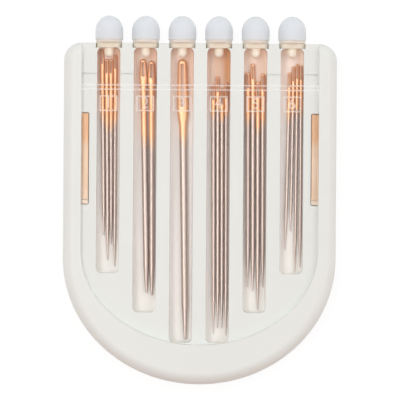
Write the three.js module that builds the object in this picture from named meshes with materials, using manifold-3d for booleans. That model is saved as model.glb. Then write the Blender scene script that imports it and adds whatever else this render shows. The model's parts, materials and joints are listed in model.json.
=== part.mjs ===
// Craft needle set in a D-shaped case: a white tray with six needle channels, a clear cover over them,
// a rear cover, a push-in stopper at the mouth of each channel, two brass side strips and the needles.
// Millimetres. The case lies on its back: +Z points out of its front and +Y towards the stoppers.

import * as THREE from 'three';
import { mergeVertices } from 'three/addons/utils/BufferGeometryUtils.js';
import Module from 'manifold-3d';

const wasm = await Module();
wasm.setup();

// Channel lengths: the outer, middle and inner pair of channels.
const OUTER_CHANNEL = 63.1;
const MIDDLE_CHANNEL = 74.0;
const INNER_CHANNEL = 82.4;

// Needles, one set for each channel from left to right. Every needle lies with its eye towards its stopper.
// eyeRooms and tipRooms are the spare channel beyond each needle's eye and beyond its point.
// gap parts neighbouring eyes at the mouth, and draw is how much closer the needles lie at the closed end.
// mouthBias and endBias say where the row lies in its channel's spare width, there and at the closed end:
// -1 is the left wall and 1 the right wall.
const NEEDLE_SETS = [
  {
    channel: OUTER_CHANNEL, shaft: 1.12, pointLength: 9, tip: 0.22,
    eyeWidth: 1.2, eyeLength: 6.4, eyeTopWidth: 1.08,
    gap: 0.06, draw: 0.28, mouthBias: -0.2, endBias: 0.46,
    eyeRooms: [0.6, 3.2, 3.2, 1.9], tipRooms: [10.5, 3.5, 8.0, 1.8],
  },
  {
    channel: MIDDLE_CHANNEL, shaft: 1.75, pointLength: 8, tip: 0.6,
    eyeWidth: 2.25, eyeLength: 9.5, eyeTopWidth: 1.7,
    gap: 0.22, draw: 1.05, mouthBias: 0.55, endBias: 1,
    eyeRooms: [3.1, 3.6], tipRooms: [5.4, 4.6],
  },
  {
    channel: INNER_CHANNEL, shaft: 2.1, pointLength: 10, tip: 0.7,
    eyeWidth: 3.3, eyeLength: 20, eyeTopWidth: 2.5,
    gap: 0.06, draw: 0, mouthBias: -0.05, endBias: 0.66,
    eyeRooms: [3.1], tipRooms: [0.7],
  },
  {
    channel: INNER_CHANNEL, shaft: 1.12, pointLength: 11, tip: 0.18,
    eyeWidth: 1.17, eyeLength: 6.8, eyeTopWidth: 1.06,
    gap: 0.06, draw: 0.07, mouthBias: 0.4, endBias: 0.97,
    eyeRooms: [10.1, 7.8, 11.2, 9.5], tipRooms: [2.4, 4.0, 4.0, 1.8],
  },
  {
    channel: MIDDLE_CHANNEL, shaft: 1.3, pointLength: 10, tip: 0.2,
    eyeWidth: 1.37, eyeLength: 7.2, eyeTopWidth: 1.24,
    gap: 0.06, draw: 0.06, mouthBias: -0.2, endBias: 1,
    eyeRooms: [6.7, 4.2, 9.2, 7.0], tipRooms: [7.1, 6.0, 0.7, 7.1],
  },
  {
    channel: OUTER_CHANNEL, shaft: 0.95, pointLength: 9, tip: 0.18,
    eyeWidth: 0.98, eyeLength: 6.2, eyeTopWidth: 0.9,
    gap: 0.06, draw: -0.38, mouthBias: 1, endBias: 0.97,
    eyeRooms: [6.6, 4.9, 4.2, 4.5], tipRooms: [6.6, 11.9, 0.7, 1.8],
  },
];
const NEEDLE_WALL_GAP = 0.2;
const NEEDLE_LIFT = 0.2;
const EYE_THICKNESS_RATIO = 0.78;
const EYE_SLOT_RATIO = 0.42;
const SHAFT_TAPER_RATIO = 0.84;
const EYE_SHOULDER_RATIO = 2;
const EYE_ROOT_RATIO = 1.2;

// Channels and the flat lands around them.
const SIDE_ROOM = 0.84;
const LAND_WIDTH = 3.75;
const OUTER_LAND = 4.4;
const BOTTOM_LAND = 0.8;
const CHANNEL_DEPTH = 4.8;
const CHANNEL_CORNER = 1.5;
const CHANNEL_FLOOR_ROUND = 0.6;
const MOUTH_WALL = 1.3;

// Tray shell.
const RIM_SIDE = 4.9;
const RIM_BOTTOM = 10.9;
const RIM_PROUD = 0.6;
const BODY_ARC_DEPTH = 35.2;
const RECESS_ARC_DEPTH = 26.4;
const TOP_CORNER = 4.8;
const EDGE_ROUND = 2.7;
const SHELL_WALL = 2.0;
const SHELL_CORNER = 0.5;
const FRONT_SKIN = 1.5;
const TROUGH_WALL = 1.2;
const TROUGH_FLOOR = 0.9;

// Rear cover and the pegs that locate it in the tray's bosses.
const REAR_THICKNESS = 1.0;
const REAR_GAP = 0.2;
const REAR_CLEARANCE = 0.15;
const PEG_DIAMETER = 2.2;
const PEG_HEIGHT = 2.6;
const PEG_CLEARANCE = 0.2;
const BOSS_WALL = 1.1;
const UPPER_PEG_DEPTH = 10;
const LOWER_PEG_DEPTH = 53;

// Clear cover, with its cross rib and a raised frame over each channel.
const COVER_THICKNESS = 1.2;
const COVER_GAP = 0.1;
const COVER_CLEARANCE = 0.2;
const RIB_DEPTH = 12.5;
const RIB_WIDTH = 1.65;
const RIB_HEIGHT = 0.4;
const FRAME_DEPTH = 17;
const FRAME_WIDTH = 5.0;
const FRAME_LENGTH = 4.4;
const FRAME_LINE = 0.4;
const FRAME_HEIGHT = 0.25;

// Stoppers.
const DOME_DIAMETER = 7.8;
const DOME_HEIGHT = 7.4;
const DOME_STRAIGHT = 3.0;
const DOME_EDGE = 0.4;
const STOPPER_GAP = 0.3;
const COLLAR_LAP = 0.35;
const COLLAR_ROOM = 0.3;
const COLLAR_PAST_WALL = 0.1;
const COLLAR_CORNER = 1.8;
const COLLAR_CLEARANCE = 0.2;
const PLUG_DIAMETER = 2.6;
const PLUG_REACH = 4.1;

// Brass side strips in their slots.
const STRIP_WIDTH = 2.1;
const STRIP_LENGTH = 25.6;
const STRIP_DEPTH = 19.6;
const STRIP_HEIGHT = 1.5;
const STRIP_STEP_LENGTH = 1.4;
const STRIP_STEP_HEIGHT = 0.4;
const STRIP_CLEARANCE = 0.15;
const STRIP_LIFT = 0.1;
const SLOT_DEPTH = 2.4;
const SLOT_CORNER = 0.5;
const SLOT_WALL = 0.9;

// Facets.
const CORNER_STEPS = 5;
const ARC_STEPS = 40;
const EDGE_STEPS = 4;
const FLOOR_STEPS = 2;
const NOSE_STEPS = 3;
const CROWN_STEPS = 6;
const EYE_TOP_STEPS = 8;
const EYE_SLOT_STEPS = 4;
const ROUND_SIDES = 16;
const NEEDLE_SIDES = 10;
const OVERLAP = 0.2;
const MERGE_DISTANCE = 1e-5;

// Sizes worked out from the driving dimensions.
const rowSpacing = (set) => set.eyeWidth + set.gap;
const rowWidth = (set) => rowSpacing(set) * (set.eyeRooms.length - 1) + set.eyeWidth;
const channelWidth = Math.max(...NEEDLE_SETS.map(rowWidth)) + SIDE_ROOM;
const channelPitch = channelWidth + LAND_WIDTH;
const channelX = (index) => (index - (NEEDLE_SETS.length - 1) / 2) * channelPitch;
const outerChannelEdge = channelX(NEEDLE_SETS.length - 1) + channelWidth / 2;
const recessHalfWidth = outerChannelEdge + OUTER_LAND;
const bodyHalfWidth = recessHalfWidth + RIM_SIDE;
const recessBottom = MOUTH_WALL + INNER_CHANNEL + BOTTOM_LAND;
const bodyLength = recessBottom + RIM_BOTTOM;
const stopperReach = STOPPER_GAP + DOME_HEIGHT;
const collarWidth = channelWidth + 2 * COLLAR_LAP;
const collarHeight = CHANNEL_DEPTH - 2 * COLLAR_ROOM;
const collarReach = MOUTH_WALL + COLLAR_PAST_WALL;

const troughBottom = REAR_THICKNESS + REAR_GAP;
const floorZ = troughBottom + TROUGH_FLOOR;
const landZ = floorZ + CHANNEL_DEPTH;
const axisZ = floorZ + CHANNEL_DEPTH / 2;
const skinZ = landZ - FRONT_SKIN;
const coverZ = landZ + COVER_GAP;
const coverTop = coverZ + COVER_THICKNESS;
const frontZ = coverTop + RIM_PROUD;
const slotFloor = landZ - SLOT_DEPTH;

const slotWidth = STRIP_WIDTH + 2 * STRIP_CLEARANCE;
const slotX = recessHalfWidth - slotWidth / 2;
const bossX = (outerChannelEdge + TROUGH_WALL + bodyHalfWidth - SHELL_WALL) / 2;
const boreRadius = PEG_DIAMETER / 2 + PEG_CLEARANCE;
const pegSpots = [-1, 1].flatMap((side) => [
  [side * bossX, -UPPER_PEG_DEPTH],
  [side * bossX, -LOWER_PEG_DEPTH],
]);

// Outlines. Depths run down from the tray's top edge, which lies at y = 0 until the whole case is centred.
function arc(x, y, radiusX, radiusY, from, to, steps) {
  const points = [];
  for (let step = 0; step <= steps; step += 1) {
    const angle = from + ((to - from) * step) / steps;
    points.push(new THREE.Vector2(x + radiusX * Math.cos(angle), y + radiusY * Math.sin(angle)));
  }
  return points;
}

function roundedRectangle(x, y, width, length, corner) {
  const right = x + width / 2 - corner;
  const left = x - width / 2 + corner;
  const upper = y + length / 2 - corner;
  const lower = y - length / 2 + corner;
  const quarter = Math.PI / 2;
  return new THREE.Shape([
    ...arc(right, upper, corner, corner, 0, quarter, CORNER_STEPS),
    ...arc(left, upper, corner, corner, quarter, 2 * quarter, CORNER_STEPS),
    ...arc(left, lower, corner, corner, 2 * quarter, 3 * quarter, CORNER_STEPS),
    ...arc(right, lower, corner, corner, 3 * quarter, 4 * quarter, CORNER_STEPS),
  ]);
}

// The tray's D: straight sides, round top corners and a half-ellipse below, drawn in all round by inset.
function bodyOutline(inset) {
  const halfWidth = bodyHalfWidth - inset;
  const corner = Math.max(TOP_CORNER - inset, SHELL_CORNER);
  const cornerY = -inset - corner;
  const arcY = BODY_ARC_DEPTH - bodyLength;
  return new THREE.Shape([
    ...arc(halfWidth - corner, cornerY, corner, corner, 0, Math.PI / 2, CORNER_STEPS),
    ...arc(corner - halfWidth, cornerY, corner, corner, Math.PI / 2, Math.PI, CORNER_STEPS),
    ...arc(0, arcY, halfWidth, BODY_ARC_DEPTH - inset, Math.PI, 2 * Math.PI, ARC_STEPS),
  ]);
}

// The recess for the clear cover: the same kind of D, square at the top.
function recessOutline(top, inset) {
  const halfWidth = recessHalfWidth - inset;
  const arcY = RECESS_ARC_DEPTH - recessBottom;
  return new THREE.Shape([
    new THREE.Vector2(halfWidth, top),
    new THREE.Vector2(-halfWidth, top),
    ...arc(0, arcY, halfWidth, RECESS_ARC_DEPTH - inset, Math.PI, 2 * Math.PI, ARC_STEPS),
  ]);
}

function channelOutline(index, margin) {
  const length = NEEDLE_SETS[index].channel;
  const middle = -MOUTH_WALL - length / 2;
  const corner = CHANNEL_CORNER + margin;
  return roundedRectangle(channelX(index), middle, channelWidth + 2 * margin, length + 2 * margin, corner);
}

function slotOutline(side, margin) {
  const middle = -STRIP_DEPTH - STRIP_LENGTH / 2;
  const length = STRIP_LENGTH + 2 * STRIP_CLEARANCE + 2 * margin;
  return roundedRectangle(side * slotX, middle, slotWidth + 2 * margin, length, SLOT_CORNER + margin);
}

// Solids.
function solidFrom(geometry) {
  geometry.deleteAttribute('normal');
  geometry.deleteAttribute('uv');
  const merged = mergeVertices(geometry, MERGE_DISTANCE);
  const corners = merged.index.array;
  const triangles = [];
  for (let at = 0; at < corners.length; at += 3) {
    const [a, b, c] = corners.slice(at, at + 3);
    if (a !== b && b !== c && c !== a) {
      triangles.push(a, b, c);
    }
  }
  const vertProperties = Float32Array.from(merged.attributes.position.array);
  const triVerts = Uint32Array.from(triangles);
  return new wasm.Manifold(new wasm.Mesh({ numProp: 3, vertProperties, triVerts }));
}

function geometryFrom(solid) {
  const mesh = solid.getMesh();
  const geometry = new THREE.BufferGeometry();
  geometry.setAttribute('position', new THREE.BufferAttribute(mesh.vertProperties, 3));
  geometry.setIndex(new THREE.BufferAttribute(mesh.triVerts, 1));
  geometry.computeVertexNormals();
  return geometry;
}

function slab(shape, low, high) {
  const geometry = new THREE.ExtrudeGeometry(shape, { depth: high - low, bevelEnabled: false });
  return solidFrom(geometry.translate(0, 0, low));
}

// A slab whose upper and lower edges are rounded inside its outline.
function roundedSlab(shape, low, high, round, steps) {
  const geometry = new THREE.ExtrudeGeometry(shape, {
    depth: high - low - 2 * round,
    bevelThickness: round,
    bevelSize: round,
    bevelOffset: -round,
    bevelSegments: steps,
  });
  return solidFrom(geometry.translate(0, 0, low + round));
}

function block(x, y, z, width, length, height) {
  return solidFrom(new THREE.BoxGeometry(width, length, height).translate(x, y, z));
}

function post(x, y, radius, low, high) {
  const geometry = new THREE.CylinderGeometry(radius, radius, high - low, ROUND_SIDES);
  return solidFrom(geometry.rotateX(Math.PI / 2).translate(x, y, (low + high) / 2));
}

function joined(solids) {
  return solids.reduce((whole, solid) => whole.add(solid));
}

// Tray: a hollow shell, open at the back, with a trough behind each channel.
function trayShell() {
  const roundBack = -2 * EDGE_ROUND;
  const rounded = roundedSlab(bodyOutline(0), roundBack, frontZ, EDGE_ROUND, EDGE_STEPS);
  const behind = block(0, -bodyLength / 2, roundBack, 4 * bodyHalfWidth, 2 * bodyLength, -2 * roundBack);
  const cavity = slab(bodyOutline(SHELL_WALL), -OVERLAP, skinZ);
  return rounded.subtract(behind).subtract(cavity);
}

// A bar along Y with a section drawn in X and Z, from its upper end down by its length.
function bar(section, upper, length) {
  const geometry = new THREE.ExtrudeGeometry(section, { depth: length, bevelEnabled: false });
  return geometry.rotateX(Math.PI / 2).translate(0, upper, 0);
}

// The mouth of a channel: a wide U-shaped notch in the top wall, open towards the clear cover.
function mouthNotch(index) {
  const half = collarWidth / 2 + COLLAR_CLEARANCE;
  const corner = COLLAR_CORNER + COLLAR_CLEARANCE;
  const cornerZ = axisZ - collarHeight / 2 + COLLAR_CORNER;
  const section = new THREE.Shape([
    ...arc(corner - half, cornerZ, corner, corner, Math.PI, 1.5 * Math.PI, CORNER_STEPS),
    ...arc(half - corner, cornerZ, corner, corner, 1.5 * Math.PI, 2 * Math.PI, CORNER_STEPS),
    new THREE.Vector2(half, frontZ),
    new THREE.Vector2(-half, frontZ),
  ]);
  const length = OVERLAP + collarReach + COLLAR_CLEARANCE;
  return solidFrom(bar(section, OVERLAP, length).translate(channelX(index), 0, 0));
}

function tray() {
  const channels = NEEDLE_SETS.map((set, index) => index);
  const sides = [-1, 1];
  const slotBack = slotFloor - SLOT_WALL;
  const boss = boreRadius + BOSS_WALL;
  const solid = joined([
    trayShell(),
    ...channels.map((index) => slab(channelOutline(index, TROUGH_WALL), troughBottom, skinZ + OVERLAP)),
    ...sides.map((side) => slab(slotOutline(side, SLOT_WALL), slotBack, skinZ + OVERLAP)),
    ...pegSpots.map(([x, y]) => post(x, y, boss, troughBottom, skinZ + OVERLAP)),
  ]);
  const boreTop = REAR_THICKNESS + PEG_HEIGHT + PEG_CLEARANCE;
  const cuts = joined([
    slab(recessOutline(STOPPER_GAP, 0), landZ, frontZ + OVERLAP),
    ...channels.map((index) => (
      roundedSlab(channelOutline(index, 0), floorZ, frontZ + CHANNEL_DEPTH, CHANNEL_FLOOR_ROUND, FLOOR_STEPS)
    )),
    ...channels.map(mouthNotch),
    ...sides.map((side) => slab(slotOutline(side, 0), slotFloor, landZ + OVERLAP)),
    ...pegSpots.map(([x, y]) => post(x, y, boreRadius, 0, boreTop)),
  ]);
  const inside = slab(bodyOutline(0), -OVERLAP, frontZ + OVERLAP);
  return solid.intersect(inside).subtract(cuts);
}

function rearCover() {
  const plate = slab(bodyOutline(SHELL_WALL + REAR_CLEARANCE), 0, REAR_THICKNESS);
  const pegTop = REAR_THICKNESS + PEG_HEIGHT;
  const pegs = pegSpots.map(([x, y]) => post(x, y, PEG_DIAMETER / 2, REAR_THICKNESS / 2, pegTop));
  return joined([plate, ...pegs]);
}

function numberFrame(index) {
  const bottom = coverTop - OVERLAP;
  const top = coverTop + FRAME_HEIGHT;
  const middle = (bottom + top) / 2;
  const height = top - bottom;
  const x = channelX(index);
  const outer = block(x, -FRAME_DEPTH, middle, FRAME_WIDTH, FRAME_LENGTH, height);
  const innerWidth = FRAME_WIDTH - 2 * FRAME_LINE;
  const innerLength = FRAME_LENGTH - 2 * FRAME_LINE;
  return outer.subtract(block(x, -FRAME_DEPTH, middle, innerWidth, innerLength, 2 * height));
}

function clearCover() {
  const plate = slab(recessOutline(-COVER_CLEARANCE, COVER_CLEARANCE), coverZ, coverTop);
  const ribHeight = RIB_HEIGHT + OVERLAP;
  const ribMiddle = coverTop + RIB_HEIGHT - ribHeight / 2;
  const ribLength = 2 * (recessHalfWidth - COVER_CLEARANCE);
  const rib = block(0, -RIB_DEPTH, ribMiddle, ribLength, RIB_WIDTH, ribHeight);
  return joined([plate, rib, ...NEEDLE_SETS.map((set, index) => numberFrame(index))]);
}

// Stopper: a dome outside the case, a flat-sided collar that fills the mouth notch and a round-nosed plug
// in the channel.
function stopper() {
  const plugRadius = PLUG_DIAMETER / 2;
  const domeRadius = DOME_DIAMETER / 2;
  const noseTop = -PLUG_REACH + plugRadius;
  const shoulder = STOPPER_GAP + DOME_STRAIGHT;
  const crown = DOME_HEIGHT - DOME_STRAIGHT;
  const profile = [
    ...arc(0, noseTop, plugRadius, plugRadius, -Math.PI / 2, 0, NOSE_STEPS),
    new THREE.Vector2(plugRadius, STOPPER_GAP),
    new THREE.Vector2(domeRadius - DOME_EDGE, STOPPER_GAP),
    new THREE.Vector2(domeRadius, STOPPER_GAP + DOME_EDGE),
    ...arc(0, shoulder, domeRadius, crown, 0, Math.PI / 2, CROWN_STEPS),
  ];
  profile[0].x = 0;
  profile[profile.length - 1].x = 0;
  const section = roundedRectangle(0, 0, collarWidth, collarHeight, COLLAR_CORNER);
  const collarTop = STOPPER_GAP + OVERLAP;
  const collar = bar(section, collarTop, collarTop + collarReach);
  return solidFrom(new THREE.LatheGeometry(profile, ROUND_SIDES)).add(solidFrom(collar));
}

// Side strip: a flat brass bar with a raised step at its lower end, drawn from the side and made its width.
function sideStrip() {
  const low = slotFloor + STRIP_LIFT;
  const high = low + STRIP_HEIGHT;
  const step = high + STRIP_STEP_HEIGHT;
  const bottom = -STRIP_DEPTH - STRIP_LENGTH;
  const shape = new THREE.Shape([
    new THREE.Vector2(bottom, low),
    new THREE.Vector2(-STRIP_DEPTH, low),
    new THREE.Vector2(-STRIP_DEPTH, high),
    new THREE.Vector2(bottom + STRIP_STEP_LENGTH, high),
    new THREE.Vector2(bottom + STRIP_STEP_LENGTH, step),
    new THREE.Vector2(bottom, step),
  ]);
  const geometry = new THREE.ExtrudeGeometry(shape, { depth: STRIP_WIDTH, bevelEnabled: false });
  const turn = new THREE.Matrix4().makeBasis(
    new THREE.Vector3(0, 1, 0),
    new THREE.Vector3(0, 0, 1),
    new THREE.Vector3(1, 0, 0),
  );
  return solidFrom(geometry.applyMatrix4(turn).translate(-STRIP_WIDTH / 2, 0, 0));
}

// Needle, from its eye at the origin down along -Y to its point.
function eyeOutline(set) {
  const topRadius = set.eyeTopWidth / 2;
  const wide = set.eyeWidth / 2;
  const shaft = set.shaft / 2;
  const shoulder = -set.eyeLength + EYE_SHOULDER_RATIO * set.eyeWidth;
  const shape = new THREE.Shape(arc(0, -topRadius, topRadius, topRadius, 0, Math.PI, EYE_TOP_STEPS));
  shape.lineTo(-wide, shoulder);
  shape.lineTo(-shaft, -set.eyeLength);
  shape.lineTo(shaft, -set.eyeLength);
  shape.lineTo(wide, shoulder);
  const slot = (set.eyeTopWidth * EYE_SLOT_RATIO) / 2;
  const lowSlot = (set.eyeWidth * EYE_SLOT_RATIO) / 2;
  shape.holes.push(new THREE.Path([
    ...arc(0, -topRadius - slot / 2, slot, slot, 0, Math.PI, EYE_SLOT_STEPS),
    ...arc(0, shoulder + lowSlot / 2, lowSlot, lowSlot, Math.PI, 2 * Math.PI, EYE_SLOT_STEPS),
  ]));
  return shape;
}

function needle(set, length) {
  const eyeHalf = (set.shaft * EYE_THICKNESS_RATIO) / 2;
  const eye = slab(eyeOutline(set), -eyeHalf, eyeHalf);
  const radius = set.shaft / 2;
  const tip = set.tip / 2;
  const profile = [
    new THREE.Vector2(0, -length),
    new THREE.Vector2(tip, -length + tip),
    new THREE.Vector2(radius * SHAFT_TAPER_RATIO, -length + set.pointLength),
    new THREE.Vector2(radius, -set.eyeLength),
    new THREE.Vector2(0, -set.eyeLength + EYE_ROOT_RATIO * set.eyeWidth),
  ];
  return solidFrom(new THREE.LatheGeometry(profile, NEEDLE_SIDES)).add(eye);
}

// How far a needle's axis lies from its channel's middle, in a row of this spacing and needle width.
function rowPlace(set, order, spacing, width, bias) {
  const steps = set.eyeRooms.length - 1;
  const spare = channelWidth - steps * spacing - width - 2 * NEEDLE_WALL_GAP;
  return (order - steps / 2) * spacing + (bias * spare) / 2;
}

// A needle lies on the line between its row's places at the mouth and at the closed end of the channel.
function needleMesh(set, index, order) {
  const spacing = rowSpacing(set);
  const mouthX = rowPlace(set, order, spacing, set.eyeWidth, set.mouthBias);
  const endX = rowPlace(set, order, spacing - set.draw, set.shaft, set.endBias);
  const slope = (endX - mouthX) / set.channel;
  const room = set.eyeRooms[order];
  const length = set.channel - room - set.tipRooms[order];
  const mesh = namedMesh(`needle_${index + 1}${'abcd'[order]}`, needle(set, length), NICKEL_STEEL);
  mesh.rotation.z = Math.atan(slope);
  const eyeX = channelX(index) + mouthX + slope * room;
  mesh.position.set(eyeX, -MOUTH_WALL - room, floorZ + NEEDLE_LIFT + set.shaft / 2);
  return mesh;
}

// Finishes.
const WHITE_PLASTIC = { color: 0xe8e8e3, roughness: 0.45, metalness: 0 };
const CLEAR_PLASTIC = { color: 0xf0f4f4, roughness: 0.1, metalness: 0, transparent: true, opacity: 0.25 };
const FROSTED_PLASTIC = { color: 0xe0e4ea, roughness: 0.5, metalness: 0 };
const BRASS = { color: 0xdcae84, roughness: 0.35, metalness: 0.9 };
const NICKEL_STEEL = { color: 0xb8a8a2, roughness: 0.25, metalness: 1 };

function namedMesh(name, solid, finish) {
  const mesh = new THREE.Mesh(geometryFrom(solid), new THREE.MeshStandardMaterial(finish));
  mesh.name = name;
  return mesh;
}

// The whole case, centred on its own length with its stoppers in.
const needleCase = new THREE.Group();
needleCase.position.y = (bodyLength - stopperReach) / 2;
needleCase.add(namedMesh('tray', tray(), WHITE_PLASTIC));
needleCase.add(namedMesh('rear_cover', rearCover(), WHITE_PLASTIC));
needleCase.add(namedMesh('clear_cover', clearCover(), CLEAR_PLASTIC));

for (const [name, side] of [['left_strip', -1], ['right_strip', 1]]) {
  const strip = namedMesh(name, sideStrip(), BRASS);
  strip.position.x = side * slotX;
  needleCase.add(strip);
}

NEEDLE_SETS.forEach((set, index) => {
  const plug = namedMesh(`stopper_${index + 1}`, stopper(), FROSTED_PLASTIC);
  plug.position.set(channelX(index), 0, axisZ);
  needleCase.add(plug);
  set.eyeRooms.forEach((room, order) => needleCase.add(needleMesh(set, index, order)));
});

const part = new THREE.Group();
part.add(needleCase);

export default part;
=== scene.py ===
import json
import math
from collections import namedtuple
from contextlib import contextmanager

import bmesh
import bpy
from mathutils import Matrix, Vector

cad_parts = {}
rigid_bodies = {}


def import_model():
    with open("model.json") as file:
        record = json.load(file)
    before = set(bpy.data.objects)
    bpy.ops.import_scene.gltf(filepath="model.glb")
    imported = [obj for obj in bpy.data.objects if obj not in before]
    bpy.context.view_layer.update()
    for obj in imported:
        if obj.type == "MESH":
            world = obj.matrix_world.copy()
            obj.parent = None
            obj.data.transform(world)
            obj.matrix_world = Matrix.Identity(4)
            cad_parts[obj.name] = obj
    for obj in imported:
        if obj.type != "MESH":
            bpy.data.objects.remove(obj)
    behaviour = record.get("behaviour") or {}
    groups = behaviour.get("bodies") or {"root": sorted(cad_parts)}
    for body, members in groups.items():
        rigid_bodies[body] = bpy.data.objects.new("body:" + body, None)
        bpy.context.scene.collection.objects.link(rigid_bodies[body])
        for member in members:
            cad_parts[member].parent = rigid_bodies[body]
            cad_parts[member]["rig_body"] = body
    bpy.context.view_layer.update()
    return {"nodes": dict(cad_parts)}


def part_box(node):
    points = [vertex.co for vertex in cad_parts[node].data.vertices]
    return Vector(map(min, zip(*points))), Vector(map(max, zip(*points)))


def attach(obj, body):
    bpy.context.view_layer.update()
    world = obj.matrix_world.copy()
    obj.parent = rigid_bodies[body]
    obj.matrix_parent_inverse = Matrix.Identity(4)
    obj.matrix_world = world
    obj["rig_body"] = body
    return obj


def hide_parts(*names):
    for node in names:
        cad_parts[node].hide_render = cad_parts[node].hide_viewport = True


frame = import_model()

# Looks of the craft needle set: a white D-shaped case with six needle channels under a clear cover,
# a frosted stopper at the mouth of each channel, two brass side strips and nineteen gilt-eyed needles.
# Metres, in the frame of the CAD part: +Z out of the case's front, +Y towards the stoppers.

MM = 0.001

# What the frame gives.
TRAY_LOW, TRAY_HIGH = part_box("tray")
REAR_LOW, REAR_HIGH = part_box("rear_cover")
COVER_LOW, COVER_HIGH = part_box("clear_cover")
HALF_WIDTH = TRAY_HIGH.x
TOP = TRAY_HIGH.y
BOTTOM = TRAY_LOW.y
FRONT = TRAY_HIGH.z

# Tray. Its sizes are those of the CAD part, but its gaps are as narrow as they look on the real case,
# and its outer edge is a little rounder.
BODY_ARC = 35.2 * MM
TOP_CORNER = 4.8 * MM
EDGE_ROUND = 3.2 * MM
SHELL_WALL = 2.0 * MM
REAR_POCKET = 1.2 * MM
RECESS_HALF = 33.125 * MM
RECESS_BOTTOM = 84.35 * MM
RECESS_ARC = 26.25 * MM
COVER_GAP = 0.1 * MM
LAND = COVER_LOW.z - COVER_GAP
RIM_ROUND = 0.3 * MM
BACK_ROUND = 0.25 * MM

# Channels, numbered from the left, with their mouths in the tray's top wall.
CHANNELS = range(1, 7)
MIDDLE_NUMBER = 3.5
CHANNEL_PITCH = 10.25 * MM
CHANNEL_WIDTH = 6.5 * MM
CHANNEL_DEPTH = 4.8 * MM
CHANNEL_LENGTHS = [length * MM for length in (63.1, 74.0, 82.4, 82.4, 74.0, 63.1)]
CHANNEL_CORNER = 1.5 * MM
CHANNEL_FOOT = 0.6 * MM
MOUTH_WALL = 1.3 * MM
AXIS = LAND - CHANNEL_DEPTH / 2

# The line along which the channels end: its height on the middle axis, and its rise to either side.
ENDS_MIDDLE = -45.0 * MM
ENDS_SLOPE = 0.94

# Slots of the side strips, and the score lines on the outer lands.
SLOT_WIDTH = 2.24 * MM
SLOT_DEPTH = 2.4 * MM
SLOT_LENGTH = 25.74 * MM
SLOT_CORNER = 0.5 * MM
SCORE_DEPTH = 8.75 * MM
SCORE_WIDTH = 0.45 * MM
SCORE_CUT = 0.5 * MM
SCORE_INNER = 18.6 * MM
SCORE_STOP = 0.1 * MM

# Rear cover, and its ejector marks by distance from the middle and from the top edge.
REAR_THICKNESS = 1.0 * MM
MARK_RADIUS = 2.0 * MM
MARK_DEPTH = 0.2 * MM
MARK_SPOTS = ((28.0 * MM, 14.0 * MM), (22.4 * MM, 68.0 * MM))

# Clear cover.
COVER_CLEARANCE = 0.05 * MM
COVER_THICKNESS = 1.2 * MM
COVER_TOP = COVER_LOW.z + COVER_THICKNESS
COVER_EDGE = 0.3 * MM
RIB_DEPTH = 12.5 * MM
RIB_WIDTH = 1.65 * MM
RIB_GROOVE = 0.26 * MM
FRAME_DEPTH = 17.0 * MM
FRAME_WIDTH = 5.0 * MM
FRAME_LENGTH = 4.4 * MM
FRAME_LINE = 0.4 * MM
FRAME_HEIGHT = 0.25 * MM
FRAME_ROUND = 0.08 * MM
NUMERAL_HEIGHT = 3.1 * MM
FIGURE_SHARE = 0.7
SUNK = 0.05 * MM

# Stoppers.
PLUG_RADIUS = 1.3 * MM
COLLAR_WIDTH = 7.2 * MM
COLLAR_HEIGHT = 4.2 * MM
COLLAR_REACH = 1.4 * MM
COLLAR_CORNER = 1.8 * MM
COLLAR_EDGE = 0.15 * MM
COLLAR_CLEARANCE = 0.04 * MM
STOPPER_GAP = 0.1 * MM
DOME_STRAIGHT = 3.2 * MM
DOME_EDGE = 0.2 * MM
FOOT_HEIGHT = 0.8 * MM
FOOT_SET_BACK = 0.25 * MM

# Side strips. Their lowest part lies in the slot and stays sharp.
STRIP_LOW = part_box("left_strip")[0].y
STRIP_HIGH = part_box("left_strip")[1].y
STRIP_STEP = 1.4 * MM
STRIP_STEP_HEIGHT = 0.4 * MM
STRIP_ROUND = 0.2 * MM
STRIP_SHARP = 0.5 * MM

# Needles, one set of sizes in millimetres for each channel.
NeedleSet = namedtuple("NeedleSet", "shaft eye eye_top eye_length point tip gilded")
NEEDLE_ROWS = {
    1: (1.12, 1.17, 1.06, 6.4, 9, 0.22, 19.0),
    2: (1.75, 2.25, 1.70, 9.5, 8, 0.60, 23.0),
    3: (2.10, 3.30, 2.50, 20.0, 10, 0.70, 22.5),
    4: (1.12, 1.17, 1.06, 6.8, 11, 0.18, 9.0),
    5: (1.30, 1.37, 1.24, 7.2, 10, 0.20, 14.0),
    6: (0.95, 0.98, 0.90, 6.2, 9, 0.18, 13.5),
}
NEEDLE_SETS = {number: NeedleSet(*[size * MM for size in row]) for number, row in NEEDLE_ROWS.items()}
EYE_THICKNESS_RATIO = 0.78
EYE_SLOT_RATIO = 0.42
EYE_SHOULDER_RATIO = 2.0
SHAFT_TAPER_RATIO = 0.84
# A model's length, before its point is moved to suit each needle's own length.
MODEL_LENGTH = 50.0 * MM
# The roundings at each end of an eye's hole stop just short of each other, so that no vertices meet.
EYE_CORNER_RATIO = 0.99

# Steps of the round stretches.
ARC_SIDES = 160
CORNER_STEPS = 8
EDGE_STEPS = 8
FOOT_STEPS = 4
MOUTH_STEPS = 8
RIM_STEPS = 3
FINE_STEPS = 2
MARK_SIDES = 32
STOPPER_SIDES = 48
NOSE_STEPS = 8
DOME_EDGE_STEPS = 4
DOME_STEPS = 16
NEEDLE_SIDES = 24
NEEDLE_STEPS = 6

# Modelling. SPARE is how far a cutter stands out of what it cuts, and places within TOUCH are one place.
SPARE = 1.0 * MM
TOUCH = 0.001 * MM
PARALLEL = 0.99
FACES_UP = 0.5
SHARP_EDGE = math.radians(30)
SMOOTH_EDGE = math.radians(35)
NEEDLE_SMOOTH_EDGE = math.radians(40)


# Modelling by hand
def only(piece):
    """Selects one piece alone."""
    bpy.ops.object.select_all(action="DESELECT")
    piece.select_set(True)
    bpy.context.view_layer.objects.active = piece


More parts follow.
